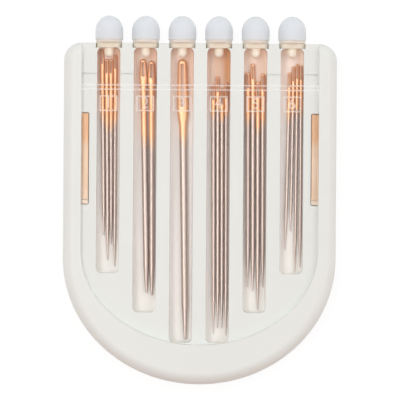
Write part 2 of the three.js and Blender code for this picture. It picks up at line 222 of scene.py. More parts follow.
def named(name):
    """Names the new primitive and puts its place into its mesh."""
    piece = bpy.context.object
    piece.name = name
    bpy.ops.object.transform_apply(location=True, rotation=True, scale=True)
    return piece


@contextmanager
def editing(piece):
    """Holds a piece in edit mode."""
    only(piece)
    bpy.ops.object.mode_set(mode="EDIT")
    yield
    bpy.ops.object.mode_set(mode="OBJECT")


def pick(piece, kind, test):
    """Selects the vertices, edges or faces that pass the test, in edit mode."""
    bpy.ops.mesh.select_mode(type=kind)
    bpy.ops.mesh.select_all(action="DESELECT")
    mesh = bmesh.from_edit_mesh(piece.data)
    for element in {"VERT": mesh.verts, "EDGE": mesh.edges, "FACE": mesh.faces}[kind]:
        if test(element):
            element.select_set(True)
    mesh.select_flush_mode()
    bmesh.update_edit_mesh(piece.data)


def lies_at(edge, height):
    """True for an edge that lies flat at a height."""
    return all(abs(vert.co.z - height) < TOUCH for vert in edge.verts)


def runs_along(edge, axis):
    """True for an edge along an axis, 0 to 2."""
    way = edge.verts[1].co - edge.verts[0].co
    return abs(way[axis]) > PARALLEL * way.length


def is_corner(edge, low, high):
    """True for a sharp outer edge whose ends both lie between two heights."""
    if len(edge.link_faces) != 2 or edge.calc_face_angle_signed() < SHARP_EDGE:
        return False
    return all(low - TOUCH < vert.co.z < high + TOUCH for vert in edge.verts)


def face_outwards():
    """Turns all faces outwards."""
    bpy.ops.mesh.select_all(action="SELECT")
    bpy.ops.mesh.normals_make_consistent(inside=False)


def d_plate(name, half_width, top, bottom, arc, low, high, corner=0.0):
    """A D-shaped plate between two heights: the lower half of a circle, drawn out to its arc, with straight
    sides up to the top and rounded corners there."""
    arc_y = bottom + arc
    bpy.ops.mesh.primitive_circle_add(vertices=ARC_SIDES, radius=half_width, location=(0, arc_y, low))
    plate = named(name)
    with editing(plate):
        pick(plate, "VERT", lambda vert: vert.co.y > arc_y + TOUCH)
        bpy.ops.mesh.delete(type="VERT")
        bpy.ops.mesh.select_all(action="SELECT")
        bpy.ops.transform.resize(value=(1, arc / half_width, 1), center_override=(0, arc_y, low))
        pick(plate, "VERT", lambda vert: abs(vert.co.y - arc_y) < TOUCH)
        bpy.ops.mesh.extrude_vertices_move(TRANSFORM_OT_translate={"value": (0, top - arc_y, 0)})
        bpy.ops.mesh.edge_face_add()
        bpy.ops.mesh.select_all(action="SELECT")
        bpy.ops.mesh.edge_face_add()
        if corner:
            pick(plate, "VERT", lambda vert: abs(vert.co.y - top) < TOUCH)
            bpy.ops.mesh.bevel(offset=corner, segments=CORNER_STEPS, affect="VERTICES")
        bpy.ops.mesh.select_all(action="SELECT")
        bpy.ops.mesh.extrude_region_move(TRANSFORM_OT_translate={"value": (0, 0, high - low)})
        face_outwards()
    return plate


def block(name, low, high, corner=0.0, foot=0.0):
    """A block between two corners, with its upright edges and its lower edges rounded."""
    middle = [(a + b) / 2 for a, b in zip(low, high)]
    size = [b - a for a, b in zip(low, high)]
    bpy.ops.mesh.primitive_cube_add(size=1, location=middle, scale=size)
    piece = named(name)
    with editing(piece):
        if corner:
            pick(piece, "EDGE", lambda edge: runs_along(edge, 2))
            bpy.ops.mesh.bevel(offset=corner, segments=CORNER_STEPS, affect="EDGES")
        if foot:
            pick(piece, "EDGE", lambda edge: lies_at(edge, low[2]))
            bpy.ops.mesh.bevel(offset=foot, segments=FOOT_STEPS, affect="EDGES")
    return piece


def combine(piece, other, operation):
    """Cuts another piece out of this one, or joins it on, and takes the other away."""
    only(piece)
    modifier = piece.modifiers.new(operation, "BOOLEAN")
    modifier.operation = operation
    modifier.solver = "EXACT"
    modifier.object = other
    bpy.ops.object.modifier_apply(modifier=modifier.name)
    bpy.data.objects.remove(other)


def lathe(name, profile, steps):
    """A profile of radius and height along Y, drawn vertex by vertex and spun about its axis."""
    bpy.ops.mesh.primitive_plane_add(size=MM)
    piece = named(name)
    with editing(piece):
        bpy.ops.mesh.select_mode(type="VERT")
        bpy.ops.mesh.select_all(action="SELECT")
        bpy.ops.mesh.merge(type="CENTER")
        bpy.ops.transform.translate(value=(*profile[0], 0))
        for here, there in zip(profile, profile[1:]):
            step = (there[0] - here[0], there[1] - here[1], 0)
            bpy.ops.mesh.extrude_vertices_move(TRANSFORM_OT_translate={"value": step})
        bpy.ops.mesh.select_all(action="SELECT")
        bpy.ops.mesh.spin(steps=steps, angle=2 * math.pi, center=(0, 0, 0), axis=(0, 1, 0))
        bpy.ops.mesh.select_all(action="SELECT")
        bpy.ops.mesh.remove_doubles(threshold=TOUCH)
        face_outwards()
    return piece


def copy_of(piece, name):
    """A copy of a piece with its own mesh."""
    only(piece)
    bpy.ops.object.duplicate(linked=False)
    twin = bpy.context.object
    twin.name = name
    return twin


def quarter(radius, height, steps):
    """Points of a quarter ellipse, from full radius at its foot to its top on the axis."""
    turns = [math.pi / 2 * step / steps for step in range(steps + 1)]
    return [(radius * math.cos(turn), height * math.sin(turn)) for turn in turns]


def channel_x(number):
    """Where the middle line of a channel lies."""
    return (number - MIDDLE_NUMBER) * CHANNEL_PITCH


def dress(piece, node, material, smooth=SMOOTH_EDGE):
    """Smooths a finished piece, gives it its material and puts it in the place of its CAD node."""
    only(piece)
    bpy.ops.object.shade_smooth_by_angle(angle=smooth)
    modifier = piece.modifiers.new("even", "WEIGHTED_NORMAL")
    modifier.keep_sharp = True
    bpy.ops.object.modifier_apply(modifier=modifier.name)
    piece.data.materials.clear()
    piece.data.materials.append(material)
    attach(piece, frame["nodes"][node]["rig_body"])
    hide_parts(node)


def finish_faces(piece, material, test):
    """Gives the faces that pass the test a second material."""
    piece.data.materials.append(material)
    with editing(piece):
        pick(piece, "FACE", lambda face: test(face.calc_center_median()))
        piece.active_material_index = len(piece.data.materials) - 1
        bpy.ops.object.material_slot_assign()


# Materials
# Sockets of a Mix node that mixes colours.
MIX_FACTOR, MIX_A, MIX_B, MIX_RESULT = 0, 6, 7, 2
# Rays that look at the background: straight from the camera, mirrored, or through clear plastic.
LOOKING_RAYS = ("Is Camera Ray", "Is Glossy Ray", "Is Transmission Ray")
# Rays that carry light on to other surfaces.
LIGHT_RAYS = ("Is Shadow Ray", "Is Diffuse Ray", "Is Glossy Ray")


def linear(colour):
    """An sRGB hex colour as linear red, green, blue and alpha."""
    shares = [int(colour[at:at + 2], 16) / 255 for at in (1, 3, 5)]
    return (*[s / 12.92 if s <= 0.04045 else ((s + 0.055) / 1.055) ** 2.4 for s in shares], 1.0)


def add(tree, kind, inputs=None, **settings):
    """Adds a node with its settings, and sets or links its inputs."""
    node = tree.nodes.new(kind)
    for name, value in settings.items():
        setattr(node, name, value)
    for key, value in (inputs or {}).items():
        if isinstance(value, bpy.types.NodeSocket):
            tree.links.new(value, node.inputs[key])
        else:
            node.inputs[key].default_value = value
    return node


def new_material(name):
    """An empty material and its node tree."""
    material = bpy.data.materials.new(name)
    material.use_nodes = True
    material.node_tree.nodes.clear()
    return material, material.node_tree


def is_ray(tree, kinds):
    """1 for a ray of one of these kinds, and 0 for any other."""
    path = add(tree, "ShaderNodeLightPath").outputs
    share = path[kinds[0]]
    for kind in kinds[1:]:
        share = add(tree, "ShaderNodeMath", {0: share, 1: path[kind]}, operation="MAXIMUM").outputs[0]
    return share


def let_through(tree, shader, kinds, tint):
    """Lets some kinds of ray pass straight through a shader, tinted, and gives the material its output."""
    through = add(tree, "ShaderNodeBsdfTransparent", {"Color": tint})
    both = add(tree, "ShaderNodeMixShader",
               {0: is_ray(tree, kinds), 1: shader.outputs[0], 2: through.outputs[0]})
    add(tree, "ShaderNodeOutputMaterial", {"Surface": both.outputs[0]})


def satin_white(tree, spot):
    """The even white of the case, with broad soft clouds."""
    cloud_size = 14 * MM
    cloud = add(tree, "ShaderNodeTexNoise",
                {"Vector": spot, "Scale": 1 / cloud_size, "Detail": 3.0}).outputs["Fac"]
    return add(tree, "ShaderNodeMix",
               {MIX_FACTOR: cloud, MIX_A: linear("#E3E5E1"), MIX_B: linear("#DEE0DB")},
               data_type="RGBA").outputs[MIX_RESULT]


def moulded_finish(tree, spot, colour):
    """A satin moulded surface with a fine grain, in the colour given."""
    # A real moulded grain is about 0.1 mm, drawn here at 0.5 mm so that it shows.
    grain_size = 0.5 * MM
    grain_depth = 0.03 * MM
    grain = add(tree, "ShaderNodeTexNoise",
                {"Vector": spot, "Scale": 1 / grain_size, "Detail": 2.0}).outputs["Fac"]
    satin = add(tree, "ShaderNodeMapRange", {"Value": grain, "To Min": 0.36, "To Max": 0.5}).outputs[0]
    bump = add(tree, "ShaderNodeBump",
               {"Height": grain, "Strength": 0.12, "Distance": grain_depth}).outputs[0]
    shader = add(tree, "ShaderNodeBsdfPrincipled",
                 {"Base Color": colour, "Roughness": satin, "Normal": bump, "IOR": 1.59})
    add(tree, "ShaderNodeOutputMaterial", {"Surface": shader.outputs[0]})


def moulded_white_polystyrene():
    """White high-impact polystyrene, injection moulded: an even satin white with a fine moulded grain."""
    material, tree = new_material("moulded_white_polystyrene")
    spot = add(tree, "ShaderNodeTexCoord").outputs["Object"]
    moulded_finish(tree, spot, satin_white(tree, spot))
    return material


def thin_wall_colour(tree, spot, place):
    """The case's white at the lands, and below them a paler, rosy white: painted light that lifts the shade
    in the channels, with a rosy painted reflection of the needles.
    It is less bright towards the channels' lower ends: painted shade where their floors lie open to the
    lamps."""
    # Painted light: below the lands the white turns paler and rosy, lifting the channels' shade.
    rosy_from = LAND - 0.4 * MM
    rosy_to = LAND - 2.0 * MM
    painted_end_shade_reach = 14 * MM
    painted_lift_below_lands = add(tree, "ShaderNodeMapRange",
               {"Value": place["Z"], "From Min": rosy_from, "From Max": rosy_to, "To Max": 0.95}).outputs[0]
    aside = add(tree, "ShaderNodeMath", {0: place["X"]}, operation="ABSOLUTE").outputs[0]
    above_ends = add(tree, "ShaderNodeMath", {0: aside, 1: -ENDS_SLOPE, 2: place["Y"]},
                     operation="MULTIPLY_ADD").outputs[0]
    # Painted shade: the floor turns less bright towards each channel's lower end.
    painted_end_shade = add(tree, "ShaderNodeMapRange",
               {"Value": above_ends, "From Min": ENDS_MIDDLE + painted_end_shade_reach,
                "From Max": ENDS_MIDDLE}).outputs[0]
    floor = add(tree, "ShaderNodeMix",
                {MIX_FACTOR: painted_end_shade, MIX_A: linear("#FCF8F4"), MIX_B: linear("#F0EDE7")},
                data_type="RGBA").outputs[MIX_RESULT]
    return add(tree, "ShaderNodeMix",
               {MIX_FACTOR: painted_lift_below_lands, MIX_A: satin_white(tree, spot), MIX_B: floor},
               data_type="RGBA").outputs[MIX_RESULT]


def thin_walled_white_polystyrene():
    """The same moulded polystyrene in the channels, thin-walled, with painted light: a paler, rosy white.
    Near the mouths it carries a warm, streaky painted reflection of the gilt eyes: more on a channel's right
    than on its left, least in the sixth channel, and strongest and darkest in the fourth, where the eyes
    leave the floor bare."""
    material, tree = new_material("thin_walled_white_polystyrene")
    spot = add(tree, "ShaderNodeTexCoord").outputs["Object"]
    place = add(tree, "ShaderNodeSeparateXYZ", {"Vector": spot}).outputs
    # The painted reflection of the gilt eyes lies near the mouths, below the lands, and more to each
    # channel's right.
    warm_from = TOP - 24 * MM
    warm_to = TOP - 9 * MM
    near_mouth = add(tree, "ShaderNodeMapRange",
                     {"Value": place["Y"], "From Min": warm_from, "From Max": warm_to},
                     interpolation_type="SMOOTHSTEP").outputs[0]
    below_from = LAND - 0.1 * MM
    below_to = LAND - 1.0 * MM
    below_land = add(tree, "ShaderNodeMapRange",
                     {"Value": place["Z"], "From Min": below_from, "From Max": below_to}).outputs[0]
    from_fourth = add(tree, "ShaderNodeMath", {0: place["X"], 1: channel_x(4)},
                      operation="SUBTRACT").outputs[0]
    from_fourth = add(tree, "ShaderNodeMath", {0: from_fourth}, operation="ABSOLUTE").outputs[0]
    in_fourth = add(tree, "ShaderNodeMapRange",
                    {"Value": from_fourth, "From Min": CHANNEL_WIDTH,
                     "From Max": CHANNEL_WIDTH / 2}).outputs[0]
    fainter_beside = add(tree, "ShaderNodeMapRange", {"Value": in_fourth, "To Min": 0.55}).outputs[0]
    fainter_in_sixth = add(tree, "ShaderNodeMapRange",
                           {"Value": place["X"], "From Min": channel_x(5), "From Max": channel_x(6),
                            "To Min": 1.0, "To Max": 0.6}).outputs[0]
    # Across a pitch this goes from 0 to 1, with 0.5 in the middle of a channel.
    across = add(tree, "ShaderNodeMath", {0: place["X"], 1: CHANNEL_PITCH}, operation="DIVIDE").outputs[0]
    across = add(tree, "ShaderNodeMath", {0: across}, operation="FRACT").outputs[0]
    right_side = add(tree, "ShaderNodeMapRange",
                     {"Value": across, "From Min": 0.25, "From Max": 0.7, "To Min": 0.5,
                      "To Max": 1.0}).outputs[0]
    streak_size = (1.2 * MM, 22 * MM, 3 * MM)
    stretched = add(tree, "ShaderNodeMapping",
                    {"Vector": spot, "Scale": [1 / size for size in streak_size]}).outputs[0]
    streaks = add(tree, "ShaderNodeTexNoise",
                  {"Vector": stretched, "Scale": 1.0, "Detail": 2.0}).outputs["Fac"]
    share = add(tree, "ShaderNodeMapRange",
                {"Value": streaks, "From Min": 0.3, "From Max": 0.7, "To Min": 0.72,
                 "To Max": 1.0}).outputs[0]
    for mask in (near_mouth, below_land, fainter_beside, fainter_in_sixth, right_side):
        share = add(tree, "ShaderNodeMath", {0: share, 1: mask}, operation="MULTIPLY").outputs[0]
    # The painted reflection's colour, darker in the fourth channel.
    painted_gilt_reflection = add(tree, "ShaderNodeMix",
               {MIX_FACTOR: in_fourth, MIX_A: linear("#EAA65C"), MIX_B: linear("#D6954E")},
               data_type="RGBA").outputs[MIX_RESULT]
    colour = add(tree, "ShaderNodeMix",
                 {MIX_FACTOR: share, MIX_A: thin_wall_colour(tree, spot, place), MIX_B: painted_gilt_reflection},
                 data_type="RGBA").outputs[MIX_RESULT]
    moulded_finish(tree, spot, colour)
    return material


def polished_clear_polystyrene():
    """Clear crystal polystyrene from a polished mould: sharp reflections, a faint haze, and painted shade on
    its sloping edges, which are tinted warm and darker."""
    material, tree = new_material("polished_clear_polystyrene")
    spots = add(tree, "ShaderNodeTexCoord").outputs
    haze_size = 6 * MM
    haze = add(tree, "ShaderNodeTexNoise",
               {"Vector": spots["Object"], "Scale": 1 / haze_size, "Detail": 4.0}).outputs["Fac"]
    polish = add(tree, "ShaderNodeMapRange", {"Value": haze, "To Min": 0.0, "To Max": 0.05}).outputs[0]
    # Painted shade: sloping faces get a warm, darker colour.
    upright = add(tree, "ShaderNodeSeparateXYZ", {"Vector": spots["Normal"]}).outputs["Z"]
    upright = add(tree, "ShaderNodeMath", {0: upright}, operation="ABSOLUTE").outputs[0]
    painted_edge_shade = add(tree, "ShaderNodeMapRange",
                {"Value": upright, "From Min": 0.97, "From Max": 0.6}).outputs[0]
    colour = add(tree, "ShaderNodeMix",
                 {MIX_FACTOR: painted_edge_shade, MIX_A: linear("#FCFDFD"), MIX_B: linear("#EBE3DC")},
                 data_type="RGBA").outputs[MIX_RESULT]
    shader = add(tree, "ShaderNodeBsdfPrincipled",
                 {"Base Color": colour, "Roughness": polish, "IOR": 1.5, "Transmission Weight": 1.0})
    let_through(tree, shader, LIGHT_RAYS, linear("#FFFFFF"))
    return material


def matt_clear_polystyrene():
    """The same polystyrene where the mould was blasted, on the raised marks: a fine whitish frost."""
    material, tree = new_material("matt_clear_polystyrene")
    spot = add(tree, "ShaderNodeTexCoord").outputs["Object"]
    # The blasted texture is about 0.05 mm, drawn here at 0.25 mm so that it shows.
    blast_size = 0.25 * MM
    blast = add(tree, "ShaderNodeTexNoise",
                {"Vector": spot, "Scale": 1 / blast_size, "Detail": 2.0}).outputs["Fac"]
    frost = add(tree, "ShaderNodeMapRange", {"Value": blast, "To Min": 0.38, "To Max": 0.52}).outputs[0]
    colour = add(tree, "ShaderNodeMix",
                 {MIX_FACTOR: blast, MIX_A: linear("#FFFFFF"), MIX_B: linear("#F6F6F6")},
                 data_type="RGBA").outputs[MIX_RESULT]
    shader = add(tree, "ShaderNodeBsdfPrincipled",
                 {"Base Color": colour, "Roughness": frost, "IOR": 1.5, "Transmission Weight": 0.62})
    let_through(tree, shader, LIGHT_RAYS, linear("#FFFFFF"))
    return material


def frosted_polyethylene():
    """Natural low-density polyethylene, moulded in a blasted tool: milky, faintly blue, with a soft sheen.
    The dome's foot, the collar and the plug carry warm painted light from the gilt eyes below, palest on the
    plug."""
    material, tree = new_material("frosted_polyethylene")
    spot = add(tree, "ShaderNodeTexCoord").outputs["Object"]
    milk_size = 5 * MM
    milk = add(tree, "ShaderNodeTexNoise",
               {"Vector": spot, "Scale": 1 / milk_size, "Detail": 3.0}).outputs["Fac"]
    # The blasted texture is about 0.05 mm, drawn here at 0.35 mm so that it shows.
    blast_size = 0.35 * MM
    blast_depth = 0.03 * MM
    blast = add(tree, "ShaderNodeTexNoise",
                {"Vector": spot, "Scale": 1 / blast_size, "Detail": 1.0}).outputs["Fac"]
    blue = add(tree, "ShaderNodeMix",
               {MIX_FACTOR: milk, MIX_A: linear("#DDE1E4"), MIX_B: linear("#D6DBE0")},
               data_type="RGBA").outputs[MIX_RESULT]
    height = add(tree, "ShaderNodeSeparateXYZ", {"Vector": spot}).outputs["Y"]
    # Painted warm light from the gilt eyes on the foot, the collar and the plug.
    foot_from = TOP + 1.2 * MM
    foot_to = TOP + 0.7 * MM
    in_foot = add(tree, "ShaderNodeMapRange",
                  {"Value": height, "From Min": foot_from, "From Max": foot_to}).outputs[0]
    in_collar = add(tree, "ShaderNodeMath", {0: height, 1: TOP}, operation="LESS_THAN").outputs[0]
    plug_from = TOP - COLLAR_REACH
    plug_to = plug_from - 0.2 * MM
    in_plug = add(tree, "ShaderNodeMapRange",
                  {"Value": height, "From Min": plug_from, "From Max": plug_to}).outputs[0]
    warm = add(tree, "ShaderNodeMix",
               {MIX_FACTOR: in_collar, MIX_A: linear("#E1DBD0"), MIX_B: linear("#E8DECB")},
               data_type="RGBA").outputs[MIX_RESULT]
    warm = add(tree, "ShaderNodeMix",
               {MIX_FACTOR: in_plug, MIX_A: warm, MIX_B: linear("#FFEFDB")},
               data_type="RGBA").outputs[MIX_RESULT]
    colour = add(tree, "ShaderNodeMix",
                 {MIX_FACTOR: in_foot, MIX_A: blue, MIX_B: warm},
                 data_type="RGBA").outputs[MIX_RESULT]
    frost = add(tree, "ShaderNodeMapRange", {"Value": blast, "To Min": 0.42, "To Max": 0.6}).outputs[0]
    bump = add(tree, "ShaderNodeBump",
               {"Height": blast, "Strength": 0.1, "Distance": blast_depth}).outputs[0]
    shader = add(tree, "ShaderNodeBsdfPrincipled",
                 {"Base Color": colour, "Roughness": frost, "Normal": bump, "IOR": 1.51,
                  "Subsurface Weight": 0.7, "Subsurface Radius": (1.0, 1.0, 1.0),
                  "Subsurface Scale": 2.5 * MM})
    let_through(tree, shader, ("Is Shadow Ray",), linear("#DADADA"))
    return material


def brushed_brass():
    """Brass strip, rolled and brushed along its length: a soft peach-gold sheen with fine long scratches.
    Its upper end is warmer, and the folded step at its lower end is greyer."""
    material, tree = new_material("brushed_brass")
    spot = add(tree, "ShaderNodeTexCoord").outputs["Object"]
    # Brush marks are about 0.03 mm apart, drawn here at 0.3 mm so that they show.
    mark_size = (0.3 * MM, 9 * MM, 0.3 * MM)
    mark_depth = 0.02 * MM
    drawn = add(tree, "ShaderNodeMapping",
                {"Vector": spot, "Scale": [1 / size for size in mark_size]}).outputs[0]
    marks = add(tree, "ShaderNodeTexNoise",
                {"Vector": drawn, "Scale": 1.0, "Detail": 3.0}).outputs["Fac"]
    cloud_size = 7 * MM
    cloud = add(tree, "ShaderNodeTexNoise",
                {"Vector": spot, "Scale": 1 / cloud_size, "Detail": 3.0}).outputs["Fac"]
    bright = add(tree, "ShaderNodeMix",
                 {MIX_FACTOR: cloud, MIX_A: linear("#C9B29F"), MIX_B: linear("#BC9A7D")},
                 data_type="RGBA").outputs[MIX_RESULT]
    height = add(tree, "ShaderNodeSeparateXYZ", {"Vector": spot}).outputs["Y"]
    warm_from = STRIP_HIGH - 10 * MM
    warm_to = STRIP_HIGH - 7 * MM
    upper = add(tree, "ShaderNodeMapRange",
                {"Value": height, "From Min": warm_from, "From Max": warm_to}).outputs[0]
    bright = add(tree, "ShaderNodeMix",
                 {MIX_FACTOR: upper, MIX_A: bright, MIX_B: linear("#BE9473")},
                 data_type="RGBA").outputs[MIX_RESULT]
    in_step = add(tree, "ShaderNodeMath", {0: height, 1: STRIP_LOW + STRIP_STEP},
                  operation="LESS_THAN").outputs[0]
    colour = add(tree, "ShaderNodeMix",
                 {MIX_FACTOR: in_step, MIX_A: bright, MIX_B: linear("#BFAC9D")},
                 data_type="RGBA").outputs[MIX_RESULT]
    rough = add(tree, "ShaderNodeMapRange", {"Value": marks, "To Min": 0.3, "To Max": 0.48}).outputs[0]
    bump = add(tree, "ShaderNodeBump",
               {"Height": marks, "Strength": 0.15, "Distance": mark_depth}).outputs[0]
    shader = add(tree, "ShaderNodeBsdfPrincipled",
                 {"Base Color": colour, "Metallic": 1.0, "Roughness": rough, "Normal": bump})
    add(tree, "ShaderNodeOutputMaterial", {"Surface": shader.outputs[0]})
    return material


def gilt_nickel_steel():
    """Nickel-plated steel wire, drawn and polished, with its eye end gilt: warm grey with a bright line along
    it, turning to a peach gold. gilding is the distance from the eye over the gilded length, and wire is the
    place on the needle, with its length along Y."""
    material, tree = new_material("gilt_nickel_steel")
    spot = add(tree, "ShaderNodeAttribute", attribute_name="wire").outputs["Vector"]
    gilding = add(tree, "ShaderNodeAttribute", attribute_name="gilding").outputs["Fac"]
    # Drawing marks are about 0.02 mm apart, drawn here at 0.25 mm so that they show.
    mark_size = (0.25 * MM, 90 * MM, 0.25 * MM)
    mark_depth = 0.02 * MM
    drawn = add(tree, "ShaderNodeMapping",
                {"Vector": spot, "Scale": [1 / size for size in mark_size]}).outputs[0]
    marks = add(tree, "ShaderNodeTexNoise",
                {"Vector": drawn, "Scale": 1.0, "Detail": 2.0}).outputs["Fac"]
    cloud_size = 4 * MM
    cloud = add(tree, "ShaderNodeTexNoise",
                {"Vector": spot, "Scale": 1 / cloud_size, "Detail": 3.0}).outputs["Fac"]
    shift = add(tree, "ShaderNodeMapRange",
                {"Value": cloud, "To Min": -0.12, "To Max": 0.12}).outputs[0]
    edge = add(tree, "ShaderNodeMath", {0: gilding, 1: shift}, operation="ADD").outputs[0]
    steel_share = add(tree, "ShaderNodeMapRange", {"Value": edge, "From Min": 0.86, "From Max": 1.14},
                      interpolation_type="SMOOTHSTEP").outputs[0]
    gold = add(tree, "ShaderNodeMix",
               {MIX_FACTOR: cloud, MIX_A: linear("#F1C7A0"), MIX_B: linear("#DFA77A")},
               data_type="RGBA").outputs[MIX_RESULT]
    steel = add(tree, "ShaderNodeMix",
                {MIX_FACTOR: marks, MIX_A: linear("#CFBFB6"), MIX_B: linear("#B09C93")},
                data_type="RGBA").outputs[MIX_RESULT]
    colour = add(tree, "ShaderNodeMix",
                 {MIX_FACTOR: steel_share, MIX_A: gold, MIX_B: steel},
                 data_type="RGBA").outputs[MIX_RESULT]
    polish = add(tree, "ShaderNodeMapRange", {"Value": marks, "To Min": 0.3, "To Max": 0.42}).outputs[0]
    satin = add(tree, "ShaderNodeMapRange", {"Value": marks, "To Min": 0.42, "To Max": 0.52}).outputs[0]
    rough = add(tree, "ShaderNodeMapRange",
                {"Value": steel_share, "To Min": satin, "To Max": polish}).outputs[0]
    bump = add(tree, "ShaderNodeBump",
               {"Height": marks, "Strength": 0.02, "Distance": mark_depth}).outputs[0]
    shader = add(tree, "ShaderNodeBsdfPrincipled",
                 {"Base Color": colour, "Metallic": 1.0, "Roughness": rough, "Normal": bump})
    add(tree, "ShaderNodeOutputMaterial", {"Surface": shader.outputs[0]})
    return material


# Tray
def channel_cutter(number):
    """A channel with round upright corners and a rounded foot."""
    x = channel_x(number)
    mouth = TOP - MOUTH_WALL
    low = (x - CHANNEL_WIDTH / 2, mouth - CHANNEL_LENGTHS[number - 1], LAND - CHANNEL_DEPTH)
    high = (x + CHANNEL_WIDTH / 2, mouth, FRONT + SPARE)
    return block("channel_cutter", low, high, CHANNEL_CORNER, CHANNEL_FOOT)


def notch_cutter(number):
    """The wide U-shaped mouth in the tray's top wall, with room for a stopper's collar."""
    x = channel_x(number)
    half = COLLAR_WIDTH / 2 + COLLAR_CLEARANCE
    floor = AXIS - COLLAR_HEIGHT / 2 - COLLAR_CLEARANCE
    low = (x - half, TOP - COLLAR_REACH - COLLAR_CLEARANCE, floor)
    high = (x + half, TOP + SPARE, FRONT + SPARE)
    piece = block("notch_cutter", low, high)
    with editing(piece):
        pick(piece, "EDGE", lambda edge: lies_at(edge, floor) and runs_along(edge, 1))
        bpy.ops.mesh.bevel(offset=COLLAR_CORNER + COLLAR_CLEARANCE, segments=MOUTH_STEPS, affect="EDGES")
    return piece


def slot_cutter(strip):
    """The slot that a side strip lies in."""
    low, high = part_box(strip)
    x = (low.x + high.x) / 2
    y = (low.y + high.y) / 2
    corner = Vector((SLOT_WIDTH / 2, SLOT_LENGTH / 2, 0))
    floor = Vector((x, y, LAND - SLOT_DEPTH)) - corner
    ceiling = Vector((x, y, LAND + SPARE)) + corner
    return block("slot_cutter", floor, ceiling, SLOT_CORNER)


def score_cutter(side):
    """A fine score line across the two outer lands on one side, as far as the recess's wall."""
    ends = sorted((side * SCORE_INNER, side * (RECESS_HALF - SCORE_STOP)))
    y = TOP - SCORE_DEPTH
    low = (ends[0], y - SCORE_WIDTH / 2, LAND - SCORE_CUT)
    high = (ends[1], y + SCORE_WIDTH / 2, LAND + SPARE)
    return block("score_cutter", low, high)


def in_channel(spot):
    """True for a place on the walls or floor of a channel."""
    for number in CHANNELS:
        beside = abs(spot.x - channel_x(number)) < CHANNEL_WIDTH / 2 + TOUCH
        end = TOP - MOUTH_WALL - CHANNEL_LENGTHS[number - 1]
        if beside and end - TOUCH < spot.y < TOP - MOUTH_WALL:
            return LAND - CHANNEL_DEPTH - TOUCH < spot.z < LAND - RIM_ROUND
    return False


def make_tray(material, channel_material):
    """The D-shaped tray, cut out for the cover, the rear cover, the channels, the mouths and the strips."""
    tray = d_plate("white_tray", HALF_WIDTH, TOP, BOTTOM, BODY_ARC, TRAY_LOW.z, FRONT, TOP_CORNER)
    with editing(tray):
        pick(tray, "EDGE", lambda edge: lies_at(edge, FRONT))
        bpy.ops.mesh.bevel(offset=EDGE_ROUND, segments=EDGE_STEPS, affect="EDGES")
    recess = d_plate("recess_cutter", RECESS_HALF, TOP + SPARE, TOP - RECESS_BOTTOM, RECESS_ARC,
                     LAND, FRONT + SPARE)
    combine(tray, recess, "DIFFERENCE")
    pocket = d_plate("pocket_cutter", HALF_WIDTH - SHELL_WALL, TOP - SHELL_WALL, BOTTOM + SHELL_WALL,
                     BODY_ARC - SHELL_WALL, TRAY_LOW.z - SPARE, REAR_POCKET, TOP_CORNER - SHELL_WALL)
    combine(tray, pocket, "DIFFERENCE")
    for number in CHANNELS:
        combine(tray, channel_cutter(number), "DIFFERENCE")
        combine(tray, notch_cutter(number), "DIFFERENCE")
    for strip in ("left_strip", "right_strip"):
        combine(tray, slot_cutter(strip), "DIFFERENCE")
    with editing(tray):
        pick(tray, "EDGE", lambda edge: is_corner(edge, LAND, FRONT))
        bpy.ops.mesh.bevel(offset=RIM_ROUND, segments=RIM_STEPS, affect="EDGES", clamp_overlap=True)
        pick(tray, "EDGE", lambda edge: is_corner(edge, TRAY_LOW.z, TRAY_LOW.z))
        bpy.ops.mesh.bevel(offset=BACK_ROUND, segments=RIM_STEPS, affect="EDGES", clamp_overlap=True)
    for side in (-1, 1):
        combine(tray, score_cutter(side), "DIFFERENCE")
    dress(tray, "tray", material)
    # The channels take the material with painted light.
    finish_faces(tray, channel_material, in_channel)


# Rear cover
def ejector_mark(x, y):
    """A shallow round mark that an ejector pin leaves on the back."""
    bpy.ops.mesh.primitive_cylinder_add(vertices=MARK_SIDES, radius=MARK_RADIUS, depth=2 * MARK_DEPTH,
                                        location=(x, y, REAR_LOW.z))
    mark = named("mark_cutter")
    with editing(mark):
        pick(mark, "EDGE", lambda edge: lies_at(edge, REAR_LOW.z + MARK_DEPTH))
        bpy.ops.mesh.bevel(offset=MARK_DEPTH / 2, segments=FINE_STEPS, affect="EDGES")
    return mark


def make_rear_cover(material):
    """The plate that closes the tray's back, inset alike all round."""
    inset = HALF_WIDTH - REAR_HIGH.x
    plate = d_plate("white_rear_cover", REAR_HIGH.x, REAR_HIGH.y, REAR_LOW.y, BODY_ARC - inset,
                    REAR_LOW.z, REAR_LOW.z + REAR_THICKNESS, TOP_CORNER - inset)
    with editing(plate):
        pick(plate, "EDGE", lambda edge: lies_at(edge, REAR_LOW.z))
        bpy.ops.mesh.bevel(offset=BACK_ROUND, segments=RIM_STEPS, affect="EDGES")
    for side in (-1, 1):
        for beside, depth in MARK_SPOTS:
            combine(plate, ejector_mark(side * beside, TOP - depth), "DIFFERENCE")
    dress(plate, "rear_cover", material)


# Clear cover
def raised_frame(middle, width, length, height):
    """A raised line all round a field, sunk out of a low block by an inset."""
    x, y = middle
    low = (x - width / 2, y - length / 2, COVER_TOP - SUNK)
    high = (x + width / 2, y + length / 2, COVER_TOP + height)
    piece = block("frame", low, high)
    with editing(piece):
        pick(piece, "FACE", lambda face: face.normal.z > FACES_UP)
        bpy.ops.mesh.inset(thickness=FRAME_LINE)
        bpy.ops.mesh.extrude_region_move(TRANSFORM_OT_translate={"value": (0, 0, SUNK / 2 - height)})
        pick(piece, "EDGE", lambda edge: is_corner(edge, high[2], high[2]))
        bpy.ops.mesh.bevel(offset=FRAME_ROUND, segments=FINE_STEPS, affect="EDGES")
    return piece


